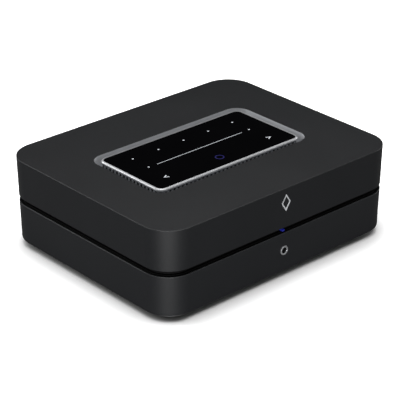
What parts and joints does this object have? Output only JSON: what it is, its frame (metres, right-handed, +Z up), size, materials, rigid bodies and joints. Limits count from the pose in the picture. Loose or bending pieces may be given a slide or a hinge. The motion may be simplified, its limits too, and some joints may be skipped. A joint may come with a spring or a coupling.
{
  "type": "wireless streaming amplifier",
  "caption": "Compact black streaming amplifier with a touch panel in its top, a groove round its middle and speaker terminals on the back.",
  "frame": {"origin": "on the surface it stands on, under the middle of its overall box, terminals included", "axes": "+Z up, -Y the front with the headphone socket, +X to the right as seen from the front"},
  "size_m": [0.22, 0.19, 0.07],
  "materials": {
    "shell_upper": "satin charcoal powder coat on die-cast aluminium",
    "shell_lower": "satin charcoal powder coat on die-cast aluminium",
    "groove_black": "matte black moulding",
    "base_steel": "matte black painted sheet steel",
    "rear_black": "matte black painted sheet steel",
    "recess_satin": "satin anodised",
    "grille_dark": "dark painted pierced sheet",
    "bezel_bright": "bright turned edge, anodised",
    "glass_black": "gloss black glass",
    "icon_white": "white lit marks",
    "play_blue": "blue lit ring",
    "status_blue": "blue lit light pipe",
    "guide_clear": "frosted acrylic",
    "board_green": "solder mask",
    "tray_black": "moulded black",
    "ribbon_pale": "flat cable",
    "badge_silver": "satin",
    "ring_silver": "bright plated",
    "jack_black": "moulded black",
    "foot_rubber": "soft black rubber",
    "screw_steel": "zinc plated",
    "screw_black": "black oxide",
    "inlet_black": "moulded black",
    "pin_nickel": "nickel plated",
    "socket_nickel": "nickel plated sheet",
    "tongue_black": "moulded black",
    "phono_gold": "gold plated",
    "collar_black": "moulded black",
    "stem_gold": "gold plated",
    "cap_black": "clear-coated black knob",
    "cap_red": "red knob",
    "shield_tin": "tinned sheet",
    "core_tape": "ferrite core under yellow tape",
    "can_sleeve": "sleeved can",
    "coil_copper": "enamelled winding",
    "sink_grey": "extruded, matte",
    "standoff_brass": "turned hex"
  },
  "bodies": {
    "chassis": {"top_cover": "shell_upper", "lower_casing": "shell_lower", "mid_frame": "groove_black", "base_plate": "base_steel", "rear_panel": "rear_black", "inlet_plate": "rear_black", "panel_surround": "recess_satin", "vent_grille": "grille_dark", "panel_bezel": "bezel_bright", "touch_glass": "glass_black", "panel_icons": "icon_white", "play_ring": "play_blue", "light_guide": "guide_clear", "touch_board": "board_green", "panel_tray": "tray_black", "touch_ribbon": "ribbon_pale", "front_badge": "badge_silver", "status_window": "status_blue", "headphone_ring": "ring_silver", "headphone_jack": "jack_black", "front_board": "board_green", "foot_front_left": "foot_rubber", "foot_front_right": "foot_rubber", "foot_rear_left": "foot_rubber", "foot_rear_right": "foot_rubber", "case_screws": "screw_steel", "rear_screws": "screw_black", "mains_inlet": "inlet_black", "inlet_pins": "pin_nickel", "network_socket": "socket_nickel", "usb_socket": "socket_nickel", "av_socket": "socket_nickel", "service_socket": "socket_nickel", "socket_tongues": "tongue_black", "line_in_jack": "jack_black", "infrared_jack": "jack_black", "phono_socket": "phono_gold", "terminal_collars": "collar_black", "post_stem_1": "stem_gold", "post_stem_2": "stem_gold", "post_stem_3": "stem_gold", "post_stem_4": "stem_gold", "main_board": "board_green", "shield_cans": "shield_tin", "antennas": "board_green", "power_board": "board_green", "transformer": "core_tape", "storage_capacitors": "can_sleeve", "amp_board": "board_green", "output_coils": "coil_copper", "heat_sink": "sink_grey", "board_standoffs": "standoff_brass"},
    "clamp_1": {"post_washer_1": "stem_gold"},
    "cap_1": {"post_cap_1": "cap_black"},
    "clamp_2": {"post_washer_2": "stem_gold"},
    "cap_2": {"post_cap_2": "cap_red"},
    "clamp_3": {"post_washer_3": "stem_gold"},
    "cap_3": {"post_cap_3": "cap_black"},
    "clamp_4": {"post_washer_4": "stem_gold"},
    "cap_4": {"post_cap_4": "cap_red"}
  },
  "joints": [
    {"name": "clamp_slide_1", "type": "slide", "parent": "chassis", "child": "clamp_1", "axis": [0, 1, 0], "range_m": [0, 0.003]},
    {"name": "cap_turn_1", "type": "hinge", "parent": "clamp_1", "child": "cap_1", "pos_m": [0.018, 0.0898, 0.025], "axis": [0, 1, 0], "range_deg": [0, 1080]},
    {"name": "clamp_slide_2", "type": "slide", "parent": "chassis", "child": "clamp_2", "axis": [0, 1, 0], "range_m": [0, 0.003]},
    {"name": "cap_turn_2", "type": "hinge", "parent": "clamp_2", "child": "cap_2", "pos_m": [0.03705, 0.0898, 0.025], "axis": [0, 1, 0], "range_deg": [0, 1080]},
    {"name": "clamp_slide_3", "type": "slide", "parent": "chassis", "child": "clamp_3", "axis": [0, 1, 0], "range_m": [0, 0.003]},
    {"name": "cap_turn_3", "type": "hinge", "parent": "clamp_3", "child": "cap_3", "pos_m": [0.0561, 0.0898, 0.025], "axis": [0, 1, 0], "range_deg": [0, 1080]},
    {"name": "clamp_slide_4", "type": "slide", "parent": "chassis", "child": "clamp_4", "axis": [0, 1, 0], "range_m": [0, 0.003]},
    {"name": "cap_turn_4", "type": "hinge", "parent": "clamp_4", "child": "cap_4", "pos_m": [0.07515, 0.0898, 0.025], "axis": [0, 1, 0], "range_deg": [0, 1080]}
  ],
  "couplings": [
    {"joint": "cap_turn_1", "follows": "clamp_slide_1", "rad_per_m": 6283},
    {"joint": "cap_turn_2", "follows": "clamp_slide_2", "rad_per_m": 6283},
    {"joint": "cap_turn_3", "follows": "clamp_slide_3", "rad_per_m": 6283},
    {"joint": "cap_turn_4", "follows": "clamp_slide_4", "rad_per_m": 6283}
  ]
}
